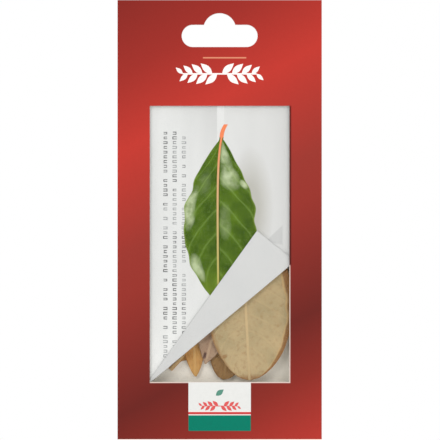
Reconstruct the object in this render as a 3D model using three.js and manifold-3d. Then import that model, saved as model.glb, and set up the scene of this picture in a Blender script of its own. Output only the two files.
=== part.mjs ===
// A hanging card packet of dried bay leaves, as sold from a shop hook.
// Millimetres. X is to the right, Y runs from the front to the back, and Z is up.
// The origin is where a hook carries the hang slot: the top of its crown, halfway through the header.

import * as THREE from "three";
import { mergeVertices } from "three/addons/utils/BufferGeometryUtils.js";
import Module from "manifold-3d";

// Driving dimensions.
const GAP = 0.3; // left between pieces that touch
const BOARD = 0.5;
const CARD_WIDTH = 86;
const CARD_HEIGHT = 185;

const SLOT_WIDTH = 32;
const SLOT_LOBE_HEIGHT = 9.4;
const SLOT_CROWN_RADIUS = 6.9;
const SLOT_CROWN_RISE = 4.9;
const SLOT_BELOW_TOP = 5.5;

const WINDOW_WIDTH = 58.8;
const WINDOW_HEIGHT = 116.3;
const WINDOW_BELOW_TOP = 44.6;

const FILM = 0.2;
const FILM_LAP = 3; // how far the film runs past the window, where it is glued

const POCKET_LAP = 6; // how far the pocket's mouth stands outside the window
const POCKET_DEPTH = 10;
const POCKET_WALL_RUN = 5; // how far the pressed wall slopes in
const POCKET_CORNER = 7;
const POCKET_WALL = 0.45;

const PAPER = 0.25;
const PAPER_LAP = 2.2;
const PAPER_BACKED_BY = 1.75; // from the middle plane to the middle of the paper
const FOLD_RISE = 49.2; // the fold climbs this far up the window's right edge
const FOLD_RADIUS = 0.3;
const FOLD_SPRING = THREE.MathUtils.degToRad(1); // how far short of flat the corner stays
const FLAP_TIP = { along: 75.3, out: 19.8 }; // the corner's point, along the fold and off it

const BLADE = 0.4;
const MIDRIB = 0.75;
const PETIOLE = { length: 5, width: 1.7, thick: 0.9 };

// Each leaf: the middle of its blade, the way it is turned (0 has its tip up), its length and width,
// the depth of its lowest point, how far it warps, and how far its broadest part is
// moved to the tip. A lower blunt makes both ends broader, and lean makes one
// half of the blade broader than the other.
const LEAVES = [
  { x: 10.6, z: -116, turn: 183, length: 78, width: 37, depth: 4.4, warp: 1.2, belly: 1.3, blunt: 0.53, lean: -0.1 },
  { x: -18.5, z: -88, turn: 8, length: 66, width: 21, depth: 4.4, warp: 1.1, belly: 0.95 },
  { x: 4, z: -56, turn: 80, length: 44, width: 20, depth: 4.4, warp: 1.0, belly: 1 },
  { x: 3.2, z: -113.4, turn: 165, length: 72, width: 26, depth: 6.2, warp: 0.6, belly: 1 },
  { x: -20.5, z: -107, turn: 176, length: 60, width: 16, depth: 6.2, warp: 0.6, belly: 1.05 },
  { x: -1, z: -57, turn: 82, length: 50, width: 23, depth: 6.2, warp: 0.6, belly: 0.95 },
  { x: -12, z: -118.6, turn: 183, length: 70, width: 15, depth: 7.8, warp: 0.4, belly: 1, blunt: 0.65 },
  { x: 7.7, z: -125, turn: 168, length: 61, width: 21, depth: 7.8, warp: 0.4, belly: 1.3, blunt: 0.5 },
  { x: 1, z: -62, turn: -78, length: 52, width: 25, depth: 7.8, warp: 0.4, belly: 1 },
  { x: 2.9, z: -125.2, turn: -43, length: 60, width: 25, depth: 9.4, warp: 0.4, belly: 1 },
  { x: -14, z: -84, turn: -5, length: 64, width: 25, depth: 9.4, warp: 0.4, belly: 0.9 },
  { x: 14, z: -71, turn: -14, length: 54, width: 22, depth: 9.4, warp: 0.4, belly: 1.1 },
];

// Heights and depths worked out from them.
const CARD_TOP = SLOT_BELOW_TOP;
const CARD_BOTTOM = CARD_TOP - CARD_HEIGHT;
const WINDOW_TOP = CARD_TOP - WINDOW_BELOW_TOP;
const WINDOW_BOTTOM = WINDOW_TOP - WINDOW_HEIGHT;
const FRONT_FACE = -GAP / 2 - BOARD;
const FLANGE_FACE = GAP / 2;

// Joining and cutting.

const wasm = await Module();
wasm.setup();

function solidOf(geometry) {
  const bare = geometry.clone();
  bare.deleteAttribute("normal");
  bare.deleteAttribute("uv");
  const merged = mergeVertices(bare, 1e-4);
  return new wasm.Manifold(
    new wasm.Mesh({
      numProp: 3,
      vertProperties: merged.attributes.position.array,
      triVerts: new Uint32Array(merged.index.array),
    }),
  );
}

function geometryOf(solid) {
  const mesh = solid.getMesh();
  const geometry = new THREE.BufferGeometry();
  geometry.setAttribute("position", new THREE.BufferAttribute(mesh.vertProperties, 3));
  geometry.setIndex(new THREE.BufferAttribute(mesh.triVerts, 1));
  geometry.computeVertexNormals();
  return geometry;
}

// Building a closed surface from points.

function geometryFrom(points, faces) {
  const geometry = new THREE.BufferGeometry().setFromPoints(points);
  geometry.setIndex(faces);
  geometry.computeVertexNormals();
  return geometry;
}

// A closed body through rings of points, each ring convex and all of one count.
function loft(rings) {
  const count = rings[0].length;
  const faces = [];
  for (let ring = 0; ring < rings.length - 1; ring++) {
    for (let i = 0; i < count; i++) {
      const a = ring * count + i;
      const b = ring * count + ((i + 1) % count);
      faces.push(a, a + count, b, b, a + count, b + count);
    }
  }
  const last = (rings.length - 1) * count;
  for (let i = 1; i < count - 1; i++) {
    faces.push(0, i, i + 1, last, last + i + 1, last + i);
  }
  return geometryFrom(rings.flat(), faces);
}

// A closed sheet between two grids of points of the same shape.
function sheet(frontGrid, backGrid) {
  const rows = frontGrid.length;
  const columns = frontGrid[0].length;
  const front = (row, column) => row * columns + column;
  const back = (row, column) => rows * columns + row * columns + column;
  const faces = [];
  const quad = (a, b, c, d) => faces.push(a, b, c, a, c, d);
  for (let row = 0; row < rows - 1; row++) {
    for (let column = 0; column < columns - 1; column++) {
      const corners = [[row, column], [row, column + 1], [row + 1, column + 1], [row + 1, column]];
      quad(...corners.map(([r, c]) => front(r, c)));
      quad(...corners.reverse().map(([r, c]) => back(r, c)));
    }
    const far = columns - 1;
    quad(front(row, 0), front(row + 1, 0), back(row + 1, 0), back(row, 0));
    quad(front(row + 1, far), front(row, far), back(row, far), back(row + 1, far));
  }
  for (let column = 0; column < columns - 1; column++) {
    const end = rows - 1;
    quad(front(0, column + 1), front(0, column), back(0, column), back(0, column + 1));
    quad(front(end, column), front(end, column + 1), back(end, column + 1), back(end, column));
  }
  return geometryFrom([...frontGrid.flat(), ...backGrid.flat()], faces);
}

// Board and film.

function rectangle(shape, halfWidth, bottom, top) {
  shape.moveTo(-halfWidth, bottom);
  shape.lineTo(halfWidth, bottom);
  shape.lineTo(halfWidth, top);
  shape.lineTo(-halfWidth, top);
  shape.closePath();
  return shape;
}

// The hang slot: two round-ended lobes under a round crown.
function slotOutline(path) {
  const round = SLOT_LOBE_HEIGHT / 2;
  const middle = -SLOT_CROWN_RISE - round;
  const crownCentre = -SLOT_CROWN_RADIUS;
  const foot = Math.asin((SLOT_CROWN_RADIUS - SLOT_CROWN_RISE) / SLOT_CROWN_RADIUS);
  const reach = SLOT_WIDTH / 2 - round;
  path.absarc(reach, middle, round, -Math.PI / 2, Math.PI / 2);
  path.absarc(0, crownCentre, SLOT_CROWN_RADIUS, foot, Math.PI - foot);
  path.absarc(-reach, middle, round, Math.PI / 2, 1.5 * Math.PI);
  path.closePath();
  return path;
}

// A flat plate of an outline drawn in X and Z, with its front face at the given depth.
function plate(shape, thickness, frontFace) {
  const geometry = new THREE.ExtrudeGeometry(shape, {
    depth: thickness,
    bevelEnabled: false,
    curveSegments: 14,
  });
  return geometry.rotateX(Math.PI / 2).translate(0, frontFace + thickness, 0);
}

function frontCard() {
  const board = rectangle(new THREE.Shape(), CARD_WIDTH / 2, CARD_BOTTOM, CARD_TOP);
  board.holes.push(
    rectangle(new THREE.Path(), WINDOW_WIDTH / 2, WINDOW_BOTTOM, WINDOW_TOP),
    slotOutline(new THREE.Path()),
  );
  return plate(board, BOARD, FRONT_FACE);
}

function windowFilm() {
  const film = rectangle(
    new THREE.Shape(),
    WINDOW_WIDTH / 2 + FILM_LAP,
    WINDOW_BOTTOM - FILM_LAP,
    WINDOW_TOP + FILM_LAP,
  );
  return plate(film, FILM, FLANGE_FACE);
}

// The pocket's outline, drawn in by an inset, as a ring of points at one depth.
function pocketRing(inset, depth) {
  const radius = POCKET_CORNER - inset;
  const x = WINDOW_WIDTH / 2 + POCKET_LAP - POCKET_CORNER;
  const top = WINDOW_TOP + POCKET_LAP - POCKET_CORNER;
  const bottom = WINDOW_BOTTOM - POCKET_LAP + POCKET_CORNER;
  const corners = [[x, top], [-x, top], [-x, bottom], [x, bottom]];
  const perCorner = 6;
  return corners.flatMap(([cx, cz], corner) =>
    Array.from({ length: perCorner }, (_, i) => {
      const angle = (corner + i / (perCorner - 1)) * (Math.PI / 2);
      return new THREE.Vector3(cx + radius * Math.cos(angle), depth, cz + radius * Math.sin(angle));
    }),
  );
}

// The pocket's hollow, or its outside when it is grown and set back.
function pocketBody(grow, setBack, mouth) {
  const steps = 7;
  const rings = [pocketRing(-grow, mouth)];
  for (let step = 0; step <= steps; step++) {
    const across = step / steps;
    const down = across * across * (3 - 2 * across);
    const depth = FLANGE_FACE + setBack + down * POCKET_DEPTH;
    rings.push(pocketRing(across * POCKET_WALL_RUN - grow, depth));
  }
  return solidOf(loft(rings));
}

function backTray() {
  const board = rectangle(new THREE.Shape(), CARD_WIDTH / 2, CARD_BOTTOM, CARD_TOP);
  board.holes.push(slotOutline(new THREE.Path()));
  const flange = solidOf(plate(board, BOARD, FLANGE_FACE));
  const outside = pocketBody(POCKET_WALL, BOARD, FLANGE_FACE + BOARD / 2);
  const hollow = pocketBody(0, 0, FLANGE_FACE - BOARD);
  return geometryOf(flange.add(outside).subtract(hollow));
}

// The paper: a sheet folded to the front along a line that climbs from the window's lower left corner.
// Places on it are measured along the fold and out from it, towards the lower right.

const FOLD_ANGLE = Math.atan2(FOLD_RISE, WINDOW_WIDTH);
const FOLD_START = new THREE.Vector2(-WINDOW_WIDTH / 2, WINDOW_BOTTOM);

// Where the sheet's edges cut a line parallel to the fold.
function paperSpan(out) {
  const half = WINDOW_WIDTH / 2 + PAPER_LAP;
  const top = WINDOW_TOP + PAPER_LAP;
  const sideways = (x) => (x - FOLD_START.x - out * Math.sin(FOLD_ANGLE)) / Math.cos(FOLD_ANGLE);
  const upwards = (top - FOLD_START.y + out * Math.cos(FOLD_ANGLE)) / Math.sin(FOLD_ANGLE);
  return [sideways(-half), Math.min(sideways(half), upwards)];
}

// How far off the fold a point of the flat sheet comes to lie, and how far it comes forward.
function foldedOver(out) {
  const turned = Math.PI - FOLD_SPRING;
  const angle = THREE.MathUtils.clamp(out / FOLD_RADIUS, 0, turned);
  const past = Math.max(out - turned * FOLD_RADIUS, 0);
  const flat = Math.min(out, 0);
  return {
    angle,
    off: flat + FOLD_RADIUS * Math.sin(angle) + past * Math.cos(turned),
    forward: FOLD_RADIUS * (1 - Math.cos(angle)) + past * Math.sin(turned),
  };
}

function paperPoint(along, out, side) {
  const { angle, off, forward } = foldedOver(out);
  const lean = (side * PAPER) / 2;
  const run = off + lean * Math.sin(angle);
  return new THREE.Vector3(
    FOLD_START.x + along * Math.cos(FOLD_ANGLE) + run * Math.sin(FOLD_ANGLE),
    PAPER_BACKED_BY - forward + lean * Math.cos(angle),
    FOLD_START.y + along * Math.sin(FOLD_ANGLE) - run * Math.cos(FOLD_ANGLE),
  );
}

// How far off the fold the rows of points lie, from the sheet's upper left corner to the fold.
const SHEET_ROWS = [-92, -80, -66, -51.7, -35, -17, -6, 0];

function paperInsert() {
  const columns = 8;
  const bend = (Math.PI - FOLD_SPRING) * FOLD_RADIUS;
  const rows = SHEET_ROWS.map((out) => [out, ...paperSpan(out)]);
  const [left, right] = paperSpan(0);
  for (let step = 1; step <= 6; step++) {
    rows.push([(bend * step) / 6, left, right]);
  }
  for (let step = 1; step <= 6; step++) {
    const share = step / 6;
    const blunt = 0.4 * share;
    const from = THREE.MathUtils.lerp(left, FLAP_TIP.along - blunt, share);
    const to = THREE.MathUtils.lerp(right, FLAP_TIP.along + blunt, share);
    rows.push([bend + FLAP_TIP.out * share, from, to]);
  }
  const grid = (side) =>
    rows.map(([out, from, to]) =>
      Array.from({ length: columns + 1 }, (_, i) =>
        paperPoint(THREE.MathUtils.lerp(to, from, i / columns), out, side),
      ),
    );
  return sheet(grid(-1), grid(1));
}

// Leaves: a blade and its stalk in one body.

function bladeHalfWidth(leaf, share) {
  const { belly, width, blunt = 0.85 } = leaf;
  const swell = Math.sin(Math.PI * Math.pow(share, belly));
  return (width / 2) * Math.pow(Math.max(swell, 0), blunt);
}

// The warp of a blade, from 0 at its lowest to 1 at its highest.
function warpAt(leaf, share, across) {
  const cup = across * across;
  const bow = Math.pow(2 * share - 1, 2);
  const ripple = Math.sin(share * 9 + leaf.turn + across) * cup;
  return (0.45 * cup + 0.4 * bow + 0.15 * (ripple + 1) * 0.5) / 0.95;
}

function leafPoint(leaf, distance, across, side) {
  const share = THREE.MathUtils.clamp(distance / leaf.length, 0, 1);
  const stalk = distance <= 0;
  const half = Math.max(stalk ? 0 : bladeHalfWidth(leaf, share), (PETIOLE.width / 2) * (1 - 0.6 * share));
  const rib = Math.max(1 - Math.abs(across) * 4, 0) * (1 - share);
  const edge = 1 - 0.5 * Math.abs(across);
  const thick = stalk ? PETIOLE.thick * edge : BLADE + (MIDRIB - BLADE) * rib;
  const lift = leaf.warp * warpAt(leaf, share, stalk ? 0 : across);
  const turn = THREE.MathUtils.degToRad(leaf.turn);
  const { lean = 0 } = leaf;
  const aside = across * half * (1 + lean * Math.sign(across));
  const flat = new THREE.Vector2(aside, distance - leaf.length / 2);
  flat.rotateAround(new THREE.Vector2(), turn);
  return new THREE.Vector3(leaf.x + flat.x, leaf.depth - lift + (side * thick) / 2, leaf.z + flat.y);
}

function bayLeaf(leaf) {
  const columns = 6;
  const distances = [-PETIOLE.length, -PETIOLE.length / 2, 0];
  for (let row = 1; row <= 15; row++) {
    distances.push((leaf.length * row) / 15);
  }
  const grid = (side) =>
    distances.map((distance) =>
      Array.from({ length: columns + 1 }, (_, i) => leafPoint(leaf, distance, (2 * i) / columns - 1, side)),
    );
  return sheet(grid(-1), grid(1));
}

// Materials.

function printedBoard() {
  return new THREE.MeshStandardMaterial({ color: 0xa5302a, roughness: 0.35, metalness: 0 });
}

function trayBoard() {
  return new THREE.MeshStandardMaterial({ color: 0x9b2d28, roughness: 0.6, metalness: 0 });
}

function clearFilm() {
  return new THREE.MeshStandardMaterial({
    color: 0xf4f6f6,
    roughness: 0.1,
    metalness: 0,
    transparent: true,
    opacity: 0.15,
  });
}

function whitePaper() {
  return new THREE.MeshStandardMaterial({ color: 0xe6e7e4, roughness: 0.75, metalness: 0 });
}

function driedLeaf(index) {
  const tans = [0xb5a178, 0x9c7f52, 0xa89468];
  return new THREE.MeshStandardMaterial({ color: tans[index % tans.length], roughness: 0.7, metalness: 0 });
}

// The packet.

const packet = new THREE.Group();

function place(name, geometry, material) {
  const mesh = new THREE.Mesh(geometry, material);
  mesh.name = name;
  packet.add(mesh);
}

place("front_card", frontCard(), printedBoard());
place("back_tray", backTray(), trayBoard());
place("window_film", windowFilm(), clearFilm());
place("paper_insert", paperInsert(), whitePaper());
LEAVES.forEach((leaf, index) => {
  const number = String(index + 1).padStart(2, "0");
  place("bay_leaf_" + number, bayLeaf(leaf), driedLeaf(index));
});

export default packet;
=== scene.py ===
"""A hanging card packet of dried bay leaves, built up in the order in which it is put together."""

from math import asin, atan2, cos, exp, pi, radians, sin

import bmesh
import bpy
from mathutils import Matrix, Vector, noise


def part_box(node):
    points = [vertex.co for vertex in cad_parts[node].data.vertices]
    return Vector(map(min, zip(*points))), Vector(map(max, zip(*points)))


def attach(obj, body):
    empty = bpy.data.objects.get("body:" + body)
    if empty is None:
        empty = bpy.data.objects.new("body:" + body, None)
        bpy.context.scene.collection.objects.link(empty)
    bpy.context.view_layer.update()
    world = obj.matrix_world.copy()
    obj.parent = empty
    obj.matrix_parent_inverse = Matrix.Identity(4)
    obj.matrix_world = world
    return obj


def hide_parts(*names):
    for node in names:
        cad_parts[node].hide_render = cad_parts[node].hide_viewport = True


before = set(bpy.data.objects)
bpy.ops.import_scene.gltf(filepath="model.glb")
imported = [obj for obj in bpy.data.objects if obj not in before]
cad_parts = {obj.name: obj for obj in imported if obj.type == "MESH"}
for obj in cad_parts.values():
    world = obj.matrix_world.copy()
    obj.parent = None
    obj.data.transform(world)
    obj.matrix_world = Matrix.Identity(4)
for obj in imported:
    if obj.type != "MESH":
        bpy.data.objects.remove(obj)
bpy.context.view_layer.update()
MM = 0.001


# The view, the floor and the light. The packet hangs well clear of a pale round floor, in a white
# room, and a long lens looks straight at its front.

card_low, card_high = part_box("front_card")
card_middle = (card_low[2] + card_high[2]) / 2
view_height = 185.3 * MM
off_centre = 0.15 * MM

camera = bpy.data.objects.new("camera", bpy.data.cameras.new("camera"))
camera.data.lens = 200
camera.data.sensor_width = 36
camera.location = (
    off_centre,
    card_low[1] - view_height * camera.data.lens / camera.data.sensor_width,
    card_middle - off_centre,
)
camera.rotation_euler = (pi / 2, 0, 0)
bpy.context.collection.objects.link(camera)
bpy.context.scene.camera = camera


def add_softbox(name, place, aim, size, power):
    light = bpy.data.lights.new(name, "AREA")
    light.shape = "DISK"
    light.size = size
    light.energy = power
    lamp = bpy.data.objects.new(name, light)
    lamp.location = place
    lamp.rotation_euler = (Vector(aim) - Vector(place)).to_track_quat("-Z", "Y").to_euler()
    bpy.context.collection.objects.link(lamp)


middle = (0, 0, card_middle)
add_softbox("key_softbox", (-0.42, -1.15, 0.3), middle, 0.45, 3.8)
add_softbox("fill_softbox", (0.45, -1.15, 0.0), middle, 0.45, 2.2)
add_softbox("low_softbox", (0.12, -1.1, -0.42), middle, 0.45, 3.0)
add_softbox("back_softbox", (0.6, 0.9, 0.4), middle, 0.6, 7.0)

bpy.context.scene.view_settings.view_transform = "Standard"


class Shade:
    """A socket of a material's nodes. Arithmetic on it adds Math nodes."""

    def __init__(self, tree, socket=None):
        self.tree = tree
        self.socket = socket

    def node(self, kind, settings=(), inputs=(), output=0):
        """A new node: its settings first, then the values or links of its sockets."""
        made = self.tree.nodes.new(kind)
        for name, value in dict(settings).items():
            if name == "stops":
                set_stops(made.color_ramp, value)
            else:
                setattr(made, name, value)
        for key, value in dict(inputs).items():
            if isinstance(value, Shade):
                self.tree.links.new(value.socket, made.inputs[key])
            else:
                made.inputs[key].default_value = value
        return Shade(self.tree, made.outputs[output])

    def math(self, operation, *others, clamp=False):
        settings = {"operation": operation, "use_clamp": clamp}
        return self.node("ShaderNodeMath", settings, dict(enumerate((self, *others))))

    def __add__(self, other):
        return self.math("ADD", other)

    __radd__ = __add__

    def __sub__(self, other):
        return self.math("SUBTRACT", other)

    def __rsub__(self, other):
        return (self * -1).math("ADD", other)

    def __mul__(self, other):
        return self.math("MULTIPLY", other)

    __rmul__ = __mul__

    def past(self, edge, soft):
        """0 below the edge and 1 above it, with a soft step between."""
        return (self * (1 / soft)).math("ADD", 0.5 - edge / soft, clamp=True)

    def within(self, low, high, soft):
        return self.past(low, soft) * (1 - self.past(high, soft))

    def blend(self, first, second):
        """The first colour where this is 0 and the second where it is 1."""
        return self.node(
            "ShaderNodeMix", {"data_type": "RGBA"}, {0: self, 6: first, 7: second}, output=2
        )

    def ramp(self, stops):
        return self.node("ShaderNodeValToRGB", {"stops": stops}, {0: self})


def set_stops(ramp, stops):
    while len(ramp.elements) < len(stops):
        ramp.elements.new(1)
    for element, (place, colour) in zip(ramp.elements, stops):
        element.position = place
        element.color = colour


def srgb(red, green, blue):
    """A colour given as it looks on a screen, from 0 to 255, as linear light."""

    def linear(part):
        part /= 255
        return part / 12.92 if part <= 0.04045 else ((part + 0.055) / 1.055) ** 2.4

    return (linear(red), linear(green), linear(blue), 1)


def new_material(name, **constants):
    """A material, its Principled shader with constants set on it, and a start for its maths."""
    material = bpy.data.materials.new(name)
    material.use_nodes = True
    shader = material.node_tree.nodes["Principled BSDF"]
    for socket, value in constants.items():
        shader.inputs[socket.replace("_", " ")].default_value = value
    return material, shader, Shade(material.node_tree)


def feed(shader, socket, value):
    value.tree.links.new(value.socket, shader.inputs[socket])


def object_axes(start):
    """The X, Y and Z of a point on the piece, and the point itself."""
    point = start.node("ShaderNodeTexCoord", output=3)
    split = {"Vector": point}
    x, y, z = (start.node("ShaderNodeSeparateXYZ", (), split, output=i) for i in range(3))
    return x, y, z, point


def grain(start, point, scale, detail=2.0):
    return start.node(
        "ShaderNodeTexNoise", (), {"Vector": point, "Scale": scale, "Detail": detail}
    )


def bump(start, height, distance, strength=1.0):
    return start.node(
        "ShaderNodeBump", (), {"Height": height, "Distance": distance, "Strength": strength}
    )


world = bpy.data.worlds.new("white_room")
world.use_nodes = True
room_light = world.node_tree.nodes["Background"]
room_light.inputs["Color"].default_value = (1, 1, 1, 1)
room_light.inputs["Strength"].default_value = 0.7
start = Shade(world.node_tree)
room_wall = start.node("ShaderNodeBackground", (), {"Color": (1, 1, 1, 1), "Strength": 1.0})
seen = start.node("ShaderNodeLightPath")
room = start.node("ShaderNodeMixShader", (), {0: seen, 2: room_wall})
world.node_tree.links.new(room_light.outputs[0], room.socket.node.inputs[1])
world.node_tree.links.new(room.socket, world.node_tree.nodes["World Output"].inputs["Surface"])
bpy.context.scene.world = world

floor_radius = 0.45
floor_drop = 0.12
floor_material, floor_shader, start = new_material("pale_floor", Roughness=0.8)
floor_x, floor_y, floor_z, floor_point = object_axes(start)
floor_tone = grain(start, floor_point, 6).blend(srgb(226, 226, 224), srgb(236, 236, 234))
feed(floor_shader, "Base Color", floor_tone)
floor_mesh = bpy.data.meshes.new("floor")
floor_shape = bmesh.new()
bmesh.ops.create_circle(floor_shape, cap_ends=True, segments=96, radius=floor_radius)
bmesh.ops.translate(floor_shape, verts=floor_shape.verts, vec=(0, 0, card_low[2] - floor_drop))
floor_shape.to_mesh(floor_mesh)
floor_mesh.materials.append(floor_material)
floor = bpy.data.objects.new("floor", floor_mesh)
bpy.context.collection.objects.link(floor)


# The pressed tray: carton board of the same outline as the card, printed red outside and left
# bare inside. A heated die presses the pocket, and its wide flange is glued to the card.

board = 0.5 * MM
film_low, film_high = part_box("window_film")
film_lap = 3 * MM
window_right = film_high[0] - film_lap
window_top = film_high[2] - film_lap
window_bottom = film_low[2] + film_lap
card_right = card_high[0]
pocket_lap = 6 * MM
pocket_wall_run = 5 * MM
pocket_corner = 7 * MM
tray_low, tray_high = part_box("back_tray")
flange_back = tray_low[1] + board
pocket_depth = tray_high[1] - flange_back
square_corner = 0.05 * MM
bend_out = 0.45 * MM
flange_ring = 1.2 * MM
floor_ring = 2.5 * MM
floor_corner = 0.5 * MM


def box_outline(half_width, bottom, top, radius, per_corner):
    """Points of a round-cornered rectangle in X and Z, from its right side over its top."""
    corners = (
        (half_width - radius, top - radius),
        (radius - half_width, top - radius),
        (radius - half_width, bottom + radius),
        (half_width - radius, bottom + radius),
    )
    points = []
    for corner, (x, z) in enumerate(corners):
        for step in range(per_corner + 1):
            angle = (corner + step / per_corner) * pi / 2
            points.append((x + radius * cos(angle), z + radius * sin(angle)))
    return points


def slot_outline(steps):
    """The hang slot: two round-ended lobes under a round crown that ends at the origin."""
    half_width = 16 * MM
    lobe = 4.7 * MM
    reach = half_width - lobe
    crown = 6.9 * MM
    rise = 4.9 * MM
    foot = asin((crown - rise) / crown)
    arcs = (
        (reach, -rise - lobe, lobe, -pi / 2, pi / 2),
        (0, -crown, crown, foot, pi - foot),
        (-reach, -rise - lobe, lobe, pi / 2, 1.5 * pi),
    )
    points = []
    for x, z, radius, first, last in arcs:
        for step in range(steps + 1):
            angle = first + (last - first) * step / steps
            points.append((x + radius * cos(angle), z + radius * sin(angle)))
    return points


def add_piece(name, shape, *materials):
    mesh = bpy.data.meshes.new(name)
    shape.to_mesh(mesh)
    shape.free()
    for material in materials:
        mesh.materials.append(material)
    piece = bpy.data.objects.new(name, mesh)
    bpy.context.collection.objects.link(piece)
    return piece


def bake_modifiers(piece):
    """Turns a piece with its modifiers into one plain mesh."""
    evaluated = piece.evaluated_get(bpy.context.evaluated_depsgraph_get())
    plain = bpy.data.meshes.new_from_object(evaluated)
    piece.modifiers.clear()
    piece.data = plain


def smooth_but_edges(piece, angle):
    piece.data.shade_smooth()
    piece.data.set_sharp_from_angle(angle=radians(angle))


def cut_slot(piece):
    """Cuts the hang slot through a board."""
    punch_half = 10 * MM
    shape = bmesh.new()
    front = [shape.verts.new((x, -punch_half, z)) for x, z in slot_outline(20)]
    back = [shape.verts.new((vert.co.x, punch_half, vert.co.z)) for vert in front]
    shape.faces.new(front)
    shape.faces.new(back[::-1])
    for i, vert in enumerate(front):
        after = (i + 1) % len(front)
        shape.faces.new((front[after], vert, back[i], back[after]))
    bmesh.ops.recalc_face_normals(shape, faces=shape.faces)
    punch = add_piece("slot_punch", shape)
    cut = piece.modifiers.new("slot", "BOOLEAN")
    cut.operation = "DIFFERENCE"
    cut.solver = "EXACT"
    cut.object = punch
    bake_modifiers(piece)
    bpy.data.objects.remove(punch)


def red_sheen(start, x, z):
    """The print's red, lighter and darker in slanting bands like a sheen on silk."""
    card_width, card_height = 86 * MM, 185 * MM
    slope = 0.25
    start_at = slope / 2 + card_high[2] / card_height
    slant = x * (slope / card_width) - z * (1 / card_height) + start_at
    return (slant * 0.8).ramp(
        (
            (0.0, srgb(126, 36, 30)),
            (0.14, srgb(151, 43, 36)),
            (0.28, srgb(184, 53, 44)),
            (0.47, srgb(146, 50, 42)),
            (0.55, srgb(142, 47, 39)),
            (0.76, srgb(100, 33, 28)),
            (0.87, srgb(132, 41, 33)),
            (1.0, srgb(176, 52, 44)),
        )
    )


def make_tray_print():
    material, shader, start = new_material(
        "tray_red_print", Roughness=0.42, Specular_IOR_Level=0.2
    )
    x, y, z, point = object_axes(start)
    fibre = grain(start, point, 900, 3)
    feed(shader, "Base Color", (fibre * 0.25).blend(red_sheen(start, x, z), srgb(96, 30, 26)))
    feed(shader, "Roughness", 0.34 + fibre * 0.2)
    feed(shader, "Normal", bump(start, fibre + grain(start, point, 120) * 2, 0.02 * MM))
    return material


def make_grey_board():
    material, shader, start = new_material("grey_board", Roughness=0.85)
    x, y, z, point = object_axes(start)
    fleck = grain(start, point, 2600, 2).past(0.66, 0.1)
    cloud = grain(start, point, 130, 4)
    tone = cloud.blend(srgb(236, 230, 217), srgb(246, 241, 230))
    feed(shader, "Base Color", (fleck * 0.35).blend(tone, srgb(176, 162, 142)))
    feed(shader, "Normal", bump(start, grain(start, point, 1500, 4), 0.03 * MM))
    return material


def make_board_edge():
    material, shader, start = new_material("board_edge", Roughness=0.9)
    x, y, z, point = object_axes(start)
    layer = grain(start, point, 1800, 3)
    feed(shader, "Base Color", layer.blend(srgb(226, 216, 204), srgb(244, 238, 230)))
    feed(shader, "Normal", bump(start, layer, 0.04 * MM))
    return material


tray_print = make_tray_print()
grey_board = make_grey_board()
board_edge = make_board_edge()


def make_tray():
    per_corner = 12
    wall_steps = 14
    rim = (window_right + pocket_lap, window_bottom - pocket_lap, window_top + pocket_lap)
    square = box_outline(card_right, card_low[2], card_high[2], square_corner, per_corner)
    rings = [[(x, flange_back, z) for x, z in square]]
    for step in range(-1, wall_steps + 1):
        across = max(step, 0) / wall_steps
        inset = across * pocket_wall_run - bend_out + min(step, 0) * flange_ring
        depth = flange_back + pocket_depth * across * across * (3 - 2 * across)
        half, bottom, top = rim[0] - inset, rim[1] + inset, rim[2] - inset
        outline = box_outline(half, bottom, top, pocket_corner - inset, per_corner)
        rings.append([(x, depth, z) for x, z in outline])
    inset = pocket_wall_run + floor_ring
    half, bottom, top = rim[0] - inset, rim[1] + inset, rim[2] - inset
    outline = box_outline(half, bottom, top, floor_corner, per_corner)
    rings.append([(x, tray_high[1], z) for x, z in outline])
    shape = bmesh.new()
    rows = [[shape.verts.new(point) for point in ring] for ring in rings]
    count = len(rows[0])
    for outer, inner in zip(rows, rows[1:]):
        for i in range(count):
            after = (i + 1) % count
            shape.faces.new((outer[i], outer[after], inner[after], inner[i]))
    shape.faces.new(rows[-1])
    bmesh.ops.recalc_face_normals(shape, faces=shape.faces)
    if shape.faces[0].normal.y < 0:
        bmesh.ops.reverse_faces(shape, faces=shape.faces)
    tray = add_piece("tray", shape, tray_print, grey_board, board_edge)
    wall = tray.modifiers.new("board", "SOLIDIFY")
    wall.thickness = board
    wall.offset = -1
    wall.use_even_offset = False
    wall.material_offset = 1
    wall.material_offset_rim = 2
    cut_slot(tray)
    smooth_but_edges(tray, 40)
    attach(tray, "root")
    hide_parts("back_tray")


make_tray()


# The dried leaves: whole bay leaves with their stalks, dropped loose into the tray before the
# card is glued down. Each has curled a little, as a leaf does when its thin parts dry first.

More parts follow.
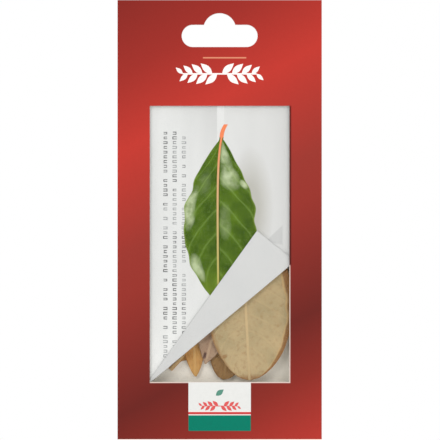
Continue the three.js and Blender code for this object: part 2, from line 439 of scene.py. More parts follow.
# Places and sizes are in millimetres from the hang slot's crown, and turn is in degrees.
LEAVES = (
    dict(x=10.6, z=-116, turn=183, length=78, width=37, depth=4.4, warp=1.2, belly=1.3,
         blunt=0.53, lean=-0.1, curled=1.0),
    dict(x=-18.5, z=-88, turn=8, length=66, width=21, depth=4.4, warp=1.1, belly=0.95),
    dict(x=4, z=-56, turn=80, length=44, width=20, depth=4.4, warp=1.0, belly=1),
    dict(x=3.2, z=-113.4, turn=165, length=72, width=26, depth=6.2, warp=0.6, belly=1,
         spotted=1.0),
    dict(x=-20.5, z=-107, turn=176, length=60, width=16, depth=6.2, warp=0.6, belly=1.05),
    dict(x=-1, z=-57, turn=82, length=50, width=23, depth=6.2, warp=0.6, belly=0.95),
    dict(x=-12, z=-118.6, turn=183, length=70, width=15, depth=7.8, warp=0.4, belly=1, blunt=0.65),
    dict(x=7.7, z=-125, turn=168, length=61, width=21, depth=7.8, warp=0.4, belly=1.3, blunt=0.5),
    dict(x=1, z=-62, turn=-78, length=52, width=25, depth=7.8, warp=0.4, belly=1),
    dict(x=2.9, z=-125.2, turn=-43, length=60, width=25, depth=9.4, warp=0.4, belly=1),
    dict(x=-14, z=-84, turn=-5, length=64, width=25, depth=9.4, warp=0.4, belly=0.9),
    dict(x=14, z=-71, turn=-14, length=54, width=22, depth=9.4, warp=0.4, belly=1.1),
)
# The pale and the deep colour of each leaf's blade, and of its dry edge.
TAN = (srgb(190, 166, 124), srgb(162, 146, 108), srgb(140, 96, 50))
OLIVE = (srgb(170, 152, 104), srgb(138, 124, 80), srgb(112, 84, 44))
MAUVE = (srgb(178, 150, 124), srgb(142, 112, 88), srgb(94, 64, 44))
AMBER = (srgb(206, 160, 96), srgb(178, 124, 62), srgb(150, 92, 36))
UMBER = (srgb(154, 118, 72), srgb(126, 94, 54), srgb(96, 60, 28))
LEAF_TONES = (TAN, OLIVE, TAN, MAUVE, OLIVE, TAN, AMBER, UMBER, OLIVE, AMBER, MAUVE, OLIVE)


def vein_lines(along, edge, side, pairs, sweep):
    """1 on a side vein, falling to 0 beside it, and how far off the vein a point is."""
    curved = along - edge.math("POWER", 1.25) * sweep
    course = curved * pairs + side * 0.4
    off_vein = course.math("PINGPONG", 0.5)
    return 1 - off_vein.past(0.055, 0.09), off_vein


def leaf_places(start):
    """Where a point is on its leaf: along it from 0 to 1, out from 0 to 1, off the rib, and side."""
    along = start.node("ShaderNodeAttribute", {"attribute_name": "along"}, output=2)
    across = start.node("ShaderNodeAttribute", {"attribute_name": "across"}, output=2)
    off_rib = start.node("ShaderNodeAttribute", {"attribute_name": "off_rib"}, output=2)
    return along, across.math("ABSOLUTE"), off_rib, across.past(0, 0.001)


def make_dried_leaf(name, pale, deep, dry_edge, curled, spotted):
    material, shader, start = new_material(name, Roughness=0.62, Specular_IOR_Level=0.25)
    x, y, z, point = object_axes(start)
    along, edge, off_rib, side = leaf_places(start)
    veins, _ = vein_lines(along, edge, side, 11, 0.16)
    rib = 1 - off_rib.past(0.55 * MM, 0.3 * MM)
    cloud = grain(start, point, 110, 4)
    mottle = grain(start, point, 700, 3)
    cells = start.node(
        "ShaderNodeTexVoronoi",
        {"feature": "DISTANCE_TO_EDGE"},
        {"Vector": point, "Scale": 1100},
    )
    net = 1 - cells.past(0.08, 0.12)
    tone = cloud.past(0.5, 0.45).blend(pale, deep)
    tone = (mottle.past(0.62, 0.2) * 0.35).blend(tone, dry_edge)
    tone = (net * 0.16).blend(tone, pale)
    tone = (veins * 0.4).blend(tone, pale)
    rim = edge.past(0.93, 0.14) * (0.25 + cloud)
    tone = rim.math("MINIMUM", 0.85).blend(tone, dry_edge)
    # On a curled leaf one edge is painted in the dry edge's brown, partly the browner dry rim and
    # partly painted shade of a rolled-under edge, with a painted highlight along the crest just
    # inside it.
    ragged = edge + (grain(start, point, 90, 2) - 0.5) * 0.2
    rolled_edge_shade = ragged.past(0.88, 0.04) * (1 - side) * (0.5 + mottle * 0.8) * curled
    tone = rolled_edge_shade.math("MINIMUM", 0.9).blend(tone, dry_edge)
    curl_crest_highlight = ragged.within(0.84, 0.875, 0.02) * (1 - side) * curled * 0.5
    tone = curl_crest_highlight.blend(tone, srgb(200, 160, 104))
    beside_rib = off_rib.within(0.2 * MM, 1.7 * MM, 0.4 * MM) * side
    dark_spot = along.within(0.935, 0.97, 0.012) * beside_rib * spotted
    burnt_tip = along.past(0.975, 0.02) * curled
    tone = (burnt_tip * 0.7).blend(tone, dry_edge)
    tone = (dark_spot * 0.85).blend(tone, srgb(70, 38, 34))
    spots = grain(start, point, 260, 1).past(0.72, 0.05)
    tone = (spots * 0.6).blend(tone, dry_edge)
    rib_tone = along.blend(srgb(214, 184, 136), pale)
    feed(shader, "Base Color", (rib * 0.85).blend(tone, rib_tone))
    feed(shader, "Roughness", 0.5 + mottle * 0.25)
    height = net * 0.35 + veins * 0.8 + mottle * 0.5 + rib
    feed(shader, "Normal", bump(start, height, 0.12 * MM))
    return material


def blade_half_width(leaf, share):
    swell = max(sin(pi * share ** leaf["belly"]), 0)
    return leaf["width"] / 2 * swell ** leaf.get("blunt", 0.85)


def leaf_point(leaf, distance, across):
    """The middle of a leaf's thickness at one place, and its thickness there, in millimetres."""
    stalk_half, stalk_thick = 0.85, 0.9
    blade_thick, rib_rise, rib_half = 0.26, 0.4, 0.7
    share = min(max(distance / leaf["length"], 0), 1)
    stalk = distance <= 0
    half = max(0 if stalk else blade_half_width(leaf, share), stalk_half * (1 - 0.6 * share))
    cup = 0 if stalk else across * across
    bow = (2 * share - 1) ** 2
    ripple = sin(share * 9 + leaf["turn"] + across) * cup
    lift = leaf["warp"] * (0.45 * cup + 0.4 * bow + 0.075 * (ripple + 1)) / 0.95
    thick = blade_thick + rib_rise * max(1 - abs(across) * half / rib_half, 0) * (1 - share)
    if stalk:
        thick = stalk_thick * max(1 - across * across, 0.08) ** 0.5
    frill = 0.0
    if not stalk:
        phase = Vector((share * 7, leaf["turn"] + (across > 0) * 5, 0))
        frill = noise.noise(phase) * 0.05 * abs(across) ** 3
    turn = radians(leaf["turn"])
    lean = leaf.get("lean", 0) * ((across > 0) - (across < 0))
    side = across * half * (1 + lean + frill)
    up = distance - leaf["length"] / 2
    x = leaf["x"] + side * cos(turn) - up * sin(turn)
    z = leaf["z"] + side * sin(turn) + up * cos(turn)
    return (x, leaf["depth"] - lift, z), thick, share, abs(side)


def skin(shape, grid, flipped=False, material=0):
    """Covers a grid of points with faces."""
    for near, after in zip(grid, grid[1:]):
        for i in range(len(near) - 1):
            corners = (near[i], near[i + 1], after[i + 1], after[i])
            face = shape.faces.new(corners[::-1] if flipped else corners)
            face.material_index = material


def close_border(shape, front, back):
    """Joins the borders of two facing grids of points, and turns all the faces outwards."""
    rows, columns = len(front) - 1, len(front[0]) - 1
    border = [(row, 0) for row in range(rows, 0, -1)]
    border += [(0, column) for column in range(columns)]
    border += [(row, columns) for row in range(rows)]
    border += [(rows, column) for column in range(columns, 0, -1)]
    for (r1, c1), (r2, c2) in zip(border, border[1:] + border[:1]):
        shape.faces.new((front[r2][c2], front[r1][c1], back[r1][c1], back[r2][c2]))
    bmesh.ops.recalc_face_normals(shape, faces=shape.faces)


def make_leaf(name, leaf, material):
    rows, columns = 96, 32
    stalk_length = 5
    crinkle_pitch, crinkle_height = 0.35, 0.1
    shape = bmesh.new()
    along_layer = shape.verts.layers.float.new("along")
    across_layer = shape.verts.layers.float.new("across")
    off_rib_layer = shape.verts.layers.float.new("off_rib")
    sides = []
    for facing in (-1, 1):
        grid = []
        for row in range(rows + 1):
            distance = -stalk_length + (leaf["length"] + stalk_length) * row / rows
            line = []
            for column in range(columns + 1):
                across = 2 * column / columns - 1
                (x, y, z), thick, share, off_rib = leaf_point(leaf, distance, across)
                place = Vector((x * crinkle_pitch, leaf["depth"], z * crinkle_pitch))
                y += facing * thick / 2 + noise.noise(place) * crinkle_height
                vert = shape.verts.new((x * MM, y * MM, z * MM))
                vert[along_layer] = share
                vert[across_layer] = across
                vert[off_rib_layer] = off_rib * MM
                line.append(vert)
            grid.append(line)
        sides.append(grid)
    front, back = sides
    skin(shape, front)
    skin(shape, back, flipped=True)
    close_border(shape, front, back)
    piece = add_piece(name, shape, material)
    smooth_but_edges(piece, 60)
    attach(piece, "root")
    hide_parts(name)


for number, (leaf, tones) in enumerate(zip(LEAVES, LEAF_TONES), 1):
    curled, spotted = leaf.get("curled", 0.0), leaf.get("spotted", 0.0)
    leaf_material = make_dried_leaf(f"dried_leaf_{number:02d}", *tones, curled, spotted)
    make_leaf(f"bay_leaf_{number:02d}", leaf, leaf_material)


# The paper: one printed sheet laid over the leaves, its lower right corner folded up to the front
# along a slanting line, so that the leaves show below the fold.

paper_lap = 2.2 * MM
paper_thick = 0.16 * MM
paper_depth = 1.75 * MM
fold_rise = 49.2 * MM
fold_angle = atan2(fold_rise, 2 * window_right)
fold_radius = 0.3 * MM
fold_spring = radians(1)
flap_along = 75.3 * MM
flap_out = 19.8 * MM
crease_x = -1.1 * MM
fold_turn = pi - fold_spring
fold_bend = fold_turn * fold_radius


def paper_relief(x, z):
    """How far the sheet stands forward of its plane: a soft upright crease and a slight cockle."""
    ridge = max(0.0, 1 - abs(x - crease_x) / (11 * MM)) * 0.5 * MM
    fade = min(max((z - window_top) / (40 * MM) + 1.1, 0), 1)
    cockle = noise.noise(Vector((x, 0, z)) * 45) * 0.22 * MM
    return ridge * fade + cockle


def paper_span(out):
    """The ends of the sheet on a line parallel to the fold, out from it."""
    half = window_right + paper_lap
    top = window_top + paper_lap
    slope, run = sin(fold_angle), cos(fold_angle)
    left = (-half + window_right - out * slope) / run
    right = (half + window_right - out * slope) / run
    upper = (top - window_bottom + out * run) / slope
    return left, min(right, upper)


def paper_point(along, out, side):
    """A point of the folded sheet, on its front or back, from its place on the flat sheet."""
    angle = min(max(out / fold_radius, 0), fold_turn)
    past = max(out - fold_bend, 0)
    lean = side * paper_thick / 2
    run = min(out, 0) + fold_radius * sin(angle) + past * cos(fold_turn) + lean * sin(angle)
    forward = fold_radius * (1 - cos(angle)) + past * sin(fold_turn)
    x = -window_right + along * cos(fold_angle) + run * sin(fold_angle)
    z = window_bottom + along * sin(fold_angle) - run * cos(fold_angle)
    relief = paper_relief(x, z) * min(abs(out) / (12 * MM), 1)
    if past > 0:
        relief *= 0.3
    return x, paper_depth - forward + lean * cos(angle) - relief, z


# Grey patches painted beside the folded corner as the shade of small dents in the sheet: left,
# right, height and slope.
PAPER_FACET_SHADES = (
    (20.4 * MM, 26.6 * MM, -95.2 * MM, 0.95),
    (24.2 * MM, 28.6 * MM, -101.0 * MM, 0.1),
)


def make_paper_white():
    material, shader, start = new_material("printed_paper", Roughness=0.7, Specular_IOR_Level=0.2)
    x, y, z, point = object_axes(start)
    # Painted shade and light: the sheet is painted darker towards its right and painted lighter low
    # on its left.
    right = x.past(0, 55 * MM)
    tone = right.blend(srgb(220, 221, 219), srgb(208, 208, 206))
    painted_light_low_left = (1 - right) * (1 - z.past(window_bottom + 30 * MM, 40 * MM))
    tone = (painted_light_low_left * 0.6).blend(tone, srgb(238, 238, 235))
    # Grey streaks of painted shade, as cast by soft crumples in the sheet.
    folds = start.node("ShaderNodeCombineXYZ", (), {"X": x * 3, "Z": z * 0.7})
    crumple_shade = grain(start, folds, 45, 2).past(0.5, 0.3)
    tone = (crumple_shade * 0.16).blend(tone, srgb(190, 191, 190))
    # Painted shade on the left of the upright crease, deepening towards it, and a painted highlight
    # along its right.
    high = z.past(window_top - 14 * MM, 26 * MM)
    crease_shade_width = 16 * MM
    crease_shade_left = crease_x - crease_shade_width
    crease_painted_shade = x.within(crease_shade_left, crease_x, 0.3 * MM) * (x - crease_shade_left) * (1 / crease_shade_width)
    tone = (crease_painted_shade * high * 0.5).blend(tone, srgb(188, 188, 186))
    crease_painted_highlight = x.within(crease_x, crease_x + 3 * MM, 0.3 * MM) * high
    tone = (crease_painted_highlight * 0.3).blend(tone, srgb(240, 240, 238))
    fibre = grain(start, point, 1400, 3)
    tone = (fibre.past(0.6, 0.2) * 0.2).blend(tone, srgb(206, 207, 205))
    side_way = (x - 13 * MM) * (1 / 9)
    up_way = (z + 82 * MM) * (1 / 24)
    off = (side_way * side_way + up_way * up_way).math("SQRT") * 1000
    shadow = 1 - off.past(0.75, 0.7)
    # Painted shade of the small dents beside the folded corner.
    for left, right_end, low, rise in PAPER_FACET_SHADES:
        under = 1 - (z - (x - left) * rise).past(low, 0.6 * MM)
        over = (z + (x - left) * 0.2).past(low - 1.2 * MM, 0.6 * MM)
        facet_shade = under * over * x.within(left, right_end, 0.6 * MM)
        tone = (facet_shade * 0.4).blend(tone, srgb(172, 173, 172))
    feed(shader, "Base Color", (shadow * 0.55).blend(tone, srgb(150, 146, 130)))
    height = fibre + grain(start, point, 220) * 3
    feed(shader, "Normal", bump(start, height, 0.02 * MM))
    return material


def make_paper_grey():
    material, shader, start = new_material("paper_back", Roughness=0.75, Specular_IOR_Level=0.2)
    x, y, z, point = object_axes(start)
    cloud = grain(start, point, 70, 3)
    tone = cloud.blend(srgb(198, 199, 198), srgb(206, 206, 204))
    fibre = grain(start, point, 1300, 3)
    feed(shader, "Base Color", (fibre.past(0.6, 0.2) * 0.2).blend(tone, srgb(190, 190, 188)))
    feed(shader, "Normal", bump(start, fibre + cloud * 4, 0.02 * MM))
    return material


def make_paper():
    columns = 72
    sheet_rows, bend_rows, flap_rows = 100, 12, 30
    far_corner = -92 * MM
    flap_blunt = 0.25 * MM
    paper_rows = []
    for step in range(sheet_rows):
        out = far_corner * (1 - step / sheet_rows)
        paper_rows.append((out, *paper_span(out)))
    left, right = paper_span(0)
    for step in range(bend_rows):
        paper_rows.append((fold_bend * step / bend_rows, left, right))
    for step in range(flap_rows + 1):
        share = step / flap_rows
        blunt = flap_blunt * share
        first = left + (flap_along - blunt - left) * share
        last = right + (flap_along + blunt - right) * share
        paper_rows.append((fold_bend + flap_out * share, first, last))
    shape = bmesh.new()
    grids = []
    for side in (-1, 1):
        grid = []
        for out, first, last in paper_rows:
            places = [last + (first - last) * i / columns for i in range(columns + 1)]
            grid.append([shape.verts.new(paper_point(along, out, side)) for along in places])
        grids.append(grid)
    front, back = grids
    skin(shape, front)
    skin(shape, back, flipped=True, material=1)
    close_border(shape, front, back)
    paper = add_piece("folded_paper", shape, make_paper_white(), make_paper_grey())
    smooth_but_edges(paper, 50)
    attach(paper, "root")
    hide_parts("paper_insert")


make_paper()


# The typed lines on the paper: three upright lines of small grey marks in groups, like words set in
# a typewriter's pitch, with no letters in them. They are ink, under the printed leaf.

def number_input(tree, name, value, kind="NodeSocketFloat"):
    """A named input of a Geometry Nodes tree, with its default."""
    socket = tree.interface.new_socket(name, in_out="INPUT", socket_type=kind)
    socket.default_value = value


def tree_input(start, name):
    """The value of a named input of the tree that start is in."""
    names = [item.name for item in start.tree.interface.items_tree if item.in_out == "INPUT"]
    return start.node("NodeGroupInput", output=names.index(name))


def new_tree(name):
    tree = bpy.data.node_groups.new(name, "GeometryNodeTree")
    tree.interface.new_socket("Geometry", in_out="INPUT", socket_type="NodeSocketGeometry")
    tree.interface.new_socket("Geometry", in_out="OUTPUT", socket_type="NodeSocketGeometry")
    return tree, Shade(tree)


def end_tree(start, geometry, material):
    """Makes a tree's copies real, gives them their material and sends them out."""
    real = start.node("GeometryNodeRealizeInstances", (), {"Geometry": geometry})
    inked = start.node("GeometryNodeSetMaterial", (), {"Geometry": real, "Material": material})
    out = start.tree.nodes.new("NodeGroupOutput")
    start.tree.links.new(inked.socket, out.inputs[0])


def run_tree(piece, tree):
    modifier = piece.modifiers.new(tree.name, "NODES")
    modifier.node_group = tree
    bake_modifiers(piece)


def flat_strokes(strokes):
    """Flat strokes in X and Z, facing the front, each given by its middle, width and height."""
    shape = bmesh.new()
    for x, z, width, height in strokes:
        corners = ((-1, -1), (1, -1), (1, 1), (-1, 1))
        shape.faces.new(
            [shape.verts.new((x + i * width / 2, 0, z + j * height / 2)) for i, j in corners]
        )
    return shape


def lay_on_paper(piece, forward):
    """Lays a flat piece on the sheet, a little forward of it."""
    for vert in piece.data.vertices:
        x, y, z = vert.co
        vert.co.y = paper_depth - paper_thick / 2 - forward - paper_relief(x, z)


def make_typed_ink():
    material, shader, start = new_material("typed_ink", Roughness=0.7, Specular_IOR_Level=0.2)
    x, y, z, point = object_axes(start)
    heavy = grain(start, point, 55, 1).past(0.52, 0.08)
    tone = heavy.blend(srgb(158, 160, 160), srgb(96, 97, 98))
    patchy = grain(start, point, 3000, 2).past(0.6, 0.2)
    feed(shader, "Base Color", (patchy * 0.35).blend(tone, srgb(200, 201, 200)))
    return material


def make_typed_tree():
    tree, start = new_tree("typed_lines")
    number_input(tree, "Line Pitch", 3.9 * MM)
    number_input(tree, "Line Length", 98 * MM)
    number_input(tree, "Marks", 50, "NodeSocketInt")
    number_input(tree, "Spaces", 0.14)
    number_input(tree, "Upset", 0.45)
    width = tree_input(start, "Line Pitch") * 2
    grid = start.node(
        "GeometryNodeMeshGrid",
        (),
        {
            "Size X": width,
            "Size Y": tree_input(start, "Line Length"),
            "Vertices X": 3,
            "Vertices Y": tree_input(start, "Marks"),
        },
    )
    upright = start.node(
        "GeometryNodeTransform", (), {"Geometry": grid, "Rotation": (pi / 2, 0, 0)}
    )
    space = start.node(
        "FunctionNodeRandomValue",
        {"data_type": "BOOLEAN"},
        {"Probability": tree_input(start, "Spaces"), "Seed": 5},
        output=3,
    )
    kept = start.node(
        "GeometryNodeDeleteGeometry", {"domain": "POINT"}, {"Geometry": upright, "Selection": space}
    )
    size = start.node(
        "FunctionNodeRandomValue",
        {"data_type": "FLOAT_VECTOR"},
        {0: (0.75, 1, 0.8), 1: (1.15, 1, 1.1), "Seed": 2},
    )
    flip = start.node(
        "FunctionNodeRandomValue",
        {"data_type": "BOOLEAN"},
        {"Probability": tree_input(start, "Upset"), "Seed": 9},
        output=3,
    )
    half_turn = start.node("ShaderNodeCombineXYZ", (), {"Y": flip * pi})
    upset = start.node("FunctionNodeEulerToRotation", (), {"Euler": half_turn})
    marks = start.node(
        "GeometryNodeInstanceOnPoints",
        (),
        {
            "Points": kept,
            "Instance": tree_input(start, "Geometry"),
            "Rotation": upset,
            "Scale": size,
        },
    )
    end_tree(start, marks, make_typed_ink())
    return tree


def make_typed_lines():
    width, height, stem = 1.7 * MM, 0.84 * MM, 0.36 * MM
    lines_middle = (-19.0 * MM, 0, -99.5 * MM)
    clear_of_fold = 2 * MM
    strokes = (
        (0, height / 2, width, stem),
        (0, -height / 2, width, stem),
        ((width - stem) / 2, 0, stem, height),
    )
    lines = add_piece("typed_lines", flat_strokes(strokes))
    run_tree(lines, make_typed_tree())
    lines.data.transform(Matrix.Translation(lines_middle))
    shape = bmesh.new()
    shape.from_mesh(lines.data)
    fold_slope = fold_rise / (2 * window_right)
    under = [
        face
        for face in shape.faces
        if face.calc_center_median().z
        < window_bottom + clear_of_fold + (face.calc_center_median().x + window_right) * fold_slope
    ]
    bmesh.ops.delete(shape, geom=under, context="FACES")
    shape.to_mesh(lines.data)
    shape.free()
    lay_on_paper(lines, 0.03 * MM)
    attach(lines, "root")


make_typed_lines()


# The picture on the paper: a fresh bay leaf printed in four colours. It is ink on the sheet, so
# it follows the sheet a hair in front of it, and runs on under the folded corner.

PICTURE = dict(top=-52.4, length=70.5, left=14.4, right=16.4, stalk=5.6)
print_depth = paper_depth - paper_thick / 2 - 0.05 * MM
# Pale gleams on the printed blade: where along it and across it, how long and wide, how strong.
SHEENS = (
    (0.13, 0.4, 0.12, 0.36, 0.7),
    (0.24, 0.45, 0.08, 0.4, 0.7),
    (0.28, 0.88, 0.03, 0.14, 0.9),
    (0.42, -0.86, 0.14, 0.2, 0.85),
    (0.78, -0.8, 0.09, 0.25, 0.7),
    (0.27, -0.55, 0.1, 0.3, 0.12),
    (0.5, 0.2, 0.12, 0.18, 0.2),
)


def picture_centre(distance):
    """How far the printed midrib swings off its straight line, in millimetres."""
    if distance < 0:
        return 0.8 + 0.06 * distance * distance
    return 1.8 * exp(-distance / 9) - 1 + 0.5 * (distance / PICTURE["length"]) ** 2


def make_green_print():
    material, shader, start = new_material("green_print", Roughness=0.5, Specular_IOR_Level=0.03)
    x, y, z, point = object_axes(start)
    along, edge, off_rib, side = leaf_places(start)
    veins, off_vein = vein_lines(along, edge, side, 7, 0.26)
    cloud = grain(start, point, 120, 4)
    mottle = grain(start, point, 900, 3)
    tone = cloud.past(0.5, 0.4).blend(srgb(86, 114, 26), srgb(56, 82, 16))
    tone = (off_vein.past(0.3, 0.4) * 0.35).blend(tone, srgb(44, 68, 14))
    tone = (mottle.past(0.6, 0.3) * 0.3).blend(tone, srgb(112, 142, 54))
    tone = (veins * 0.3).blend(tone, srgb(136, 164, 82))
    streaks = grain(start, point, 260, 3).past(0.45, 0.35) * 0.8 + 0.2
    for middle_along, middle_across, long, wide, share in SHEENS:
        ahead = (along - middle_along) * (1 / long)
        aside = (edge * (side * 2 - 1) - middle_across) * (1 / wide)
        patch = 1 - (ahead * ahead + aside * aside).past(0.6, 0.9)
        tone = (patch * streaks * share).blend(tone, srgb(200, 212, 172))
    tip = along.past(0.9, 0.25)
    tone = (tip * 0.6).blend(tone, srgb(128, 150, 44))
    rim = edge.past(0.97, 0.05)
    tone = (rim * 0.45).blend(tone, srgb(150, 170, 80))
    rib = 1 - off_rib.past(0.42 * MM, 0.2 * MM)
    rib_tone = along.ramp(
        (
            (0.0, srgb(234, 132, 88)),
            (0.22, srgb(216, 164, 120)),
            (0.5, srgb(198, 170, 114)),
            (1.0, srgb(168, 170, 84)),
        )
    )
    rib_shade = (1 - off_rib.past(0.75 * MM, 0.3 * MM)) * side * along.past(0.15, 0.2)
    tone = (rib_shade * 0.7).blend(tone, srgb(34, 48, 16))
    feed(shader, "Base Color", rib.blend(tone, rib_tone))
    feed(shader, "Roughness", 0.45 + mottle * 0.1)
    return material


def make_picture():
    rows, columns = 120, 40
    length, stalk = PICTURE["length"], PICTURE["stalk"]
    shape = bmesh.new()
    along_layer = shape.verts.layers.float.new("along")
    across_layer = shape.verts.layers.float.new("across")
    off_rib_layer = shape.verts.layers.float.new("off_rib")
    grid = []
    for row in range(rows + 1):
        distance = -stalk + (length + stalk) * row / rows
        share = max(distance / length, 0)
        swell = max(sin(pi * min(share, 1) ** 1.12), 0)
        stem = 0.85 * (1 - 0.65 * share)
        line = []
        for column in range(columns + 1):
            across = 2 * column / columns - 1
            wave = noise.noise(Vector((share * 11, 3 if across > 0 else 8, 0))) * 0.1
            full = PICTURE["right"] * swell**0.75 if across > 0 else PICTURE["left"] * swell**0.82
            half = max(full * (1 + wave), stem)
            side = across * half
            x = (picture_centre(distance) + side) * MM
            z = (PICTURE["top"] - distance) * MM
            vert = shape.verts.new((x, print_depth - paper_relief(x, z), z))
            vert[along_layer] = share
            vert[across_layer] = across
            vert[off_rib_layer] = abs(side) * MM if distance > 0 else 0
            line.append(vert)
        grid.append(line)
    skin(shape, grid, flipped=True)
    picture = add_piece("printed_leaf", shape, make_green_print())
    picture.data.shade_smooth()
    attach(picture, "root")


make_picture()


# The film: a flat sheet of clear plastic behind the window. It is cut 3 mm larger than the
# window all round, and glued to the back of the card.

def make_clear_film():
    material, shader, start = new_material(
        "clear_film", Roughness=0.08, Alpha=0.02, Base_Color=(0.1, 0.11, 0.11, 1)
    )
    x, y, z, point = object_axes(start)
    feed(shader, "Normal", bump(start, grain(start, point, 40), 0.3 * MM, 0.3))
    return material


clear_film = make_clear_film()
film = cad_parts["window_film"]
film.data.materials.clear()
film.data.materials.append(clear_film)


# The front card: flat carton board, die-cut with the window and the hang slot, and printed with
# a red sheen and a short pale rule, with a painted shadow line down the window's right edge.

rule_low = card_high[2] - 24.7 * MM
rule_half = 9.1 * MM
fold_end = window_bottom + fold_rise


def make_card_print():
    material, shader, start = new_material("card_red_print", Roughness=0.4, Specular_IOR_Level=0.05)
    x, y, z, point = object_axes(start)
    fibre = grain(start, point, 900, 3)
    tone = (fibre * 0.12).blend(red_sheen(start, x, z), srgb(120, 36, 30))
    soft = 0.25 * MM
    rule = z.within(rule_low + 0.1 * MM, rule_low + 0.65 * MM, soft) * (
        (x - 2.1 * MM).within(-rule_half, rule_half, soft)
    )
    tone = rule.blend(tone, srgb(212, 138, 108))
    # A painted shadow down the window's right edge above the fold, as of the gap between card and
    # paper.
    beside = x.within(window_right - 1 * MM, window_right + 0.75 * MM, soft)
    window_edge_shadow = beside * z.within(fold_end, window_top, 1 * MM)
    tone = (window_edge_shadow * 0.75).blend(tone, srgb(52, 18, 17))
    pale_right = x.within(window_right - 1 * MM, window_right + 0.35 * MM, 0.2 * MM)
    pale_right = pale_right * z.within(window_bottom - 0.4 * MM, fold_end, soft)
    pale_base = z.within(window_bottom - 0.4 * MM, window_bottom + 1 * MM, 0.2 * MM)
    pale_base = pale_base * x.within(-window_right, window_right + 0.35 * MM, soft)
    pale = pale_right.math("MAXIMUM", pale_base)
    tone = (pale * 0.8).blend(tone, srgb(232, 214, 204))
    faces = start.node("ShaderNodeNewGeometry", output=3)
    facing = start.node("ShaderNodeSeparateXYZ", (), {"Vector": faces}, output=1)
    cut_edge = 1 - facing.math("ABSOLUTE").past(0.5, 0.2)
    tone = cut_edge.blend(tone, srgb(236, 228, 220))
    feed(shader, "Base Color", facing.past(0.5, 0.2).blend(tone, srgb(216, 209, 196)))
    feed(shader, "Roughness", 0.34 + fibre * 0.16)
    feed(shader, "Normal", bump(start, fibre + grain(start, point, 90) * 2, 0.015 * MM))
    return material


def make_card():
    """The card as made, its printed face let back a hair so that the ink lies within its depth."""
    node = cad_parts["front_card"]
    mesh = node.data.copy()
    mesh.transform(node.matrix_world)
    for vert in mesh.vertices:
        if vert.co.y < card_low[1] + 0.01 * MM:
            vert.co.y = card_low[1] + 0.05 * MM
    mesh.materials.clear()
    mesh.materials.append(make_card_print())
    card = bpy.data.objects.new("printed_card", mesh)
    bpy.context.scene.collection.objects.link(card)
    smooth_but_edges(card, 30)
    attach(card, "root")
    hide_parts("front_card")


make_card()


# The ornament on the header: a plain sprig of laurel where a name would stand. It is white ink
# printed on the card, two rows of pointed leaves along a thin stem.

def leaf_outline(length, width):
    """A pointed leaf along +X from the origin, facing the front."""
    shape = bmesh.new()
    steps = 8
    lower = [(i / steps, -1) for i in range(steps + 1)]
    upper = [(i / steps, 1) for i in range(steps - 1, 0, -1)]
    points = []
    for share, side in lower + upper:
        half = width / 2 * sin(pi * share**0.9) ** 1.1 if 0 < share < 1 else 0
        points.append(shape.verts.new((share * length, 0, side * half)))
    shape.faces.new(points)
    return shape


def make_white_ink():
    material, shader, start = new_material("white_ink", Roughness=0.45, Specular_IOR_Level=0.2)
    x, y, z, point = object_axes(start)
    wear = grain(start, point, 1500, 3)
    feed(shader, "Base Color", wear.past(0.62, 0.2).blend(srgb(242, 236, 232), srgb(228, 208, 202)))
    feed(shader, "Roughness", 0.4 + wear * 0.2)
    return material


def make_sprig_tree(name, ink, across, leaves, stem_width):
    tree, start = new_tree(name)
    number_input(tree, "Length", across)
    number_input(tree, "Leaves", leaves, "NodeSocketInt")
    number_input(tree, "Leaf Angle", radians(42))
    number_input(tree, "Stem Width", stem_width)
    length = tree_input(start, "Length")
    count = tree_input(start, "Leaves")
    first = start.node("ShaderNodeCombineXYZ", (), {"X": length * -0.5})
    step = start.node("ShaderNodeCombineXYZ", (), {"X": length.math("DIVIDE", count - 1)})
    line = start.node(
        "GeometryNodeMeshLine", (), {"Count": count, "Start Location": first, "Offset": step}
    )
    index = start.node("GeometryNodeInputIndex")
    lean = index.math("MODULO", 2) * 2 - 1
    place = start.node("GeometryNodeInputPosition")
    x = start.node("ShaderNodeSeparateXYZ", (), {"Vector": place})
    right = x.past(0, 0.0001)
    angle = lean * tree_input(start, "Leaf Angle")
    turn = right * angle + (1 - right) * (pi - angle)
    euler = start.node("ShaderNodeCombineXYZ", (), {"Y": turn})
    rotation = start.node("FunctionNodeEulerToRotation", (), {"Euler": euler})
    end = x.math("ABSOLUTE").math("DIVIDE", length) * 2
    copies = start.node(
        "GeometryNodeInstanceOnPoints",
        (),
        {
            "Points": line,
            "Instance": tree_input(start, "Geometry"),
            "Rotation": rotation,
            "Scale": 1.12 - end * end * 0.45,
        },
    )
    stem = start.node(
        "GeometryNodeMeshGrid",
        (),
        {"Size X": length, "Size Y": tree_input(start, "Stem Width"), "Vertices X": 40},
    )
    stem = start.node(
        "GeometryNodeTransform",
        (),
        {"Geometry": stem, "Rotation": (pi / 2, 0, 0), "Translation": (0, 0.01 * MM, 0)},
    )
    joined = start.node("GeometryNodeJoinGeometry", (), {"Geometry": stem})
    tree.links.new(copies.socket, joined.socket.node.inputs[0])
    end_tree(start, joined, ink)
    return tree


def make_sprig():
    sprig = add_piece("header_sprig", leaf_outline(6 * MM, 2.5 * MM))
    run_tree(sprig, make_sprig_tree("laurel_sprig", make_white_ink(), 31 * MM, 16, 0.6 * MM))
    sprig.data.transform(Matrix.Translation((0, card_low[1] + 0.02 * MM, -25.6 * MM)))
    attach(sprig, "root")


make_sprig()


# The label below the window: a printed panel, white above and green below, with a thin red line
# between them and a small green leaf on the white.

label_width = 26.3 * MM
label_top = window_bottom - 0.1 * MM
label_height = 20.5 * MM
label_line = label_top - 13 * MM


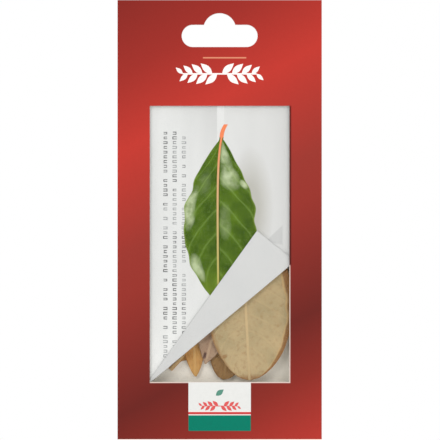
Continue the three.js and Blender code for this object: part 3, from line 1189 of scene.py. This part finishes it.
def make_label_print():
    material, shader, start = new_material("label_print", Roughness=0.42, Specular_IOR_Level=0.05)
    x, y, z, point = object_axes(start)
    fibre = grain(start, point, 900, 3)
    soft = 0.12 * MM
    tone = fibre.blend(srgb(214, 214, 211), srgb(222, 222, 219))
    green = fibre.blend(srgb(2, 112, 92), srgb(0, 120, 98))
    tone = (1 - z.past(label_line, soft)).blend(tone, green)
    line = z.within(label_line - 0.5 * MM, label_line + 0.5 * MM, soft)
    pale_line = z.within(label_line - 0.9 * MM, label_line + 0.9 * MM, soft)
    tone = pale_line.blend(tone, srgb(232, 222, 218))
    tone = line.blend(tone, srgb(196, 62, 62))
    feed(shader, "Base Color", tone)
    feed(shader, "Roughness", 0.36 + fibre * 0.16)
    feed(shader, "Normal", bump(start, fibre, 0.015 * MM))
    return material


def make_label():
    middle_z = label_top - label_height / 2
    shape = flat_strokes([(0, middle_z, label_width, label_height)])
    bmesh.ops.subdivide_edges(shape, edges=shape.edges, cuts=5, use_grid_fill=True)
    label = add_piece("base_label", shape, make_label_print())
    label.data.transform(Matrix.Translation((0, card_low[1] + 0.03 * MM, 0)))
    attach(label, "root")


def make_label_leaf():
    material, shader, start = new_material("label_green_ink", Roughness=0.45)
    x, y, z, point = object_axes(start)
    tone = grain(start, point, 1200, 2).blend(srgb(40, 112, 92), srgb(70, 138, 116))
    feed(shader, "Base Color", tone)
    leaf = add_piece("label_leaf", leaf_outline(4.2 * MM, 2.2 * MM), material)
    leaf.data.transform(Matrix.Rotation(radians(-38), 4, "Y"))
    place = (-1.6 * MM, card_low[1] + 0.01 * MM, label_top - 5.6 * MM)
    leaf.data.transform(Matrix.Translation(place))
    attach(leaf, "root")


def make_label_sprig():
    material, shader, start = new_material("label_red_ink", Roughness=0.45)
    x, y, z, point = object_axes(start)
    tone = grain(start, point, 1200, 2).blend(srgb(196, 44, 46), srgb(216, 70, 66))
    feed(shader, "Base Color", tone)
    sprig = add_piece("label_sprig", leaf_outline(2.9 * MM, 1.3 * MM))
    run_tree(sprig, make_sprig_tree("red_sprig", material, 15 * MM, 14, 0.35 * MM))
    sprig.data.transform(Matrix.Translation((0, card_low[1] + 0.01 * MM, label_top - 10 * MM)))
    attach(sprig, "root")


make_label()
make_label_leaf()
make_label_sprig()
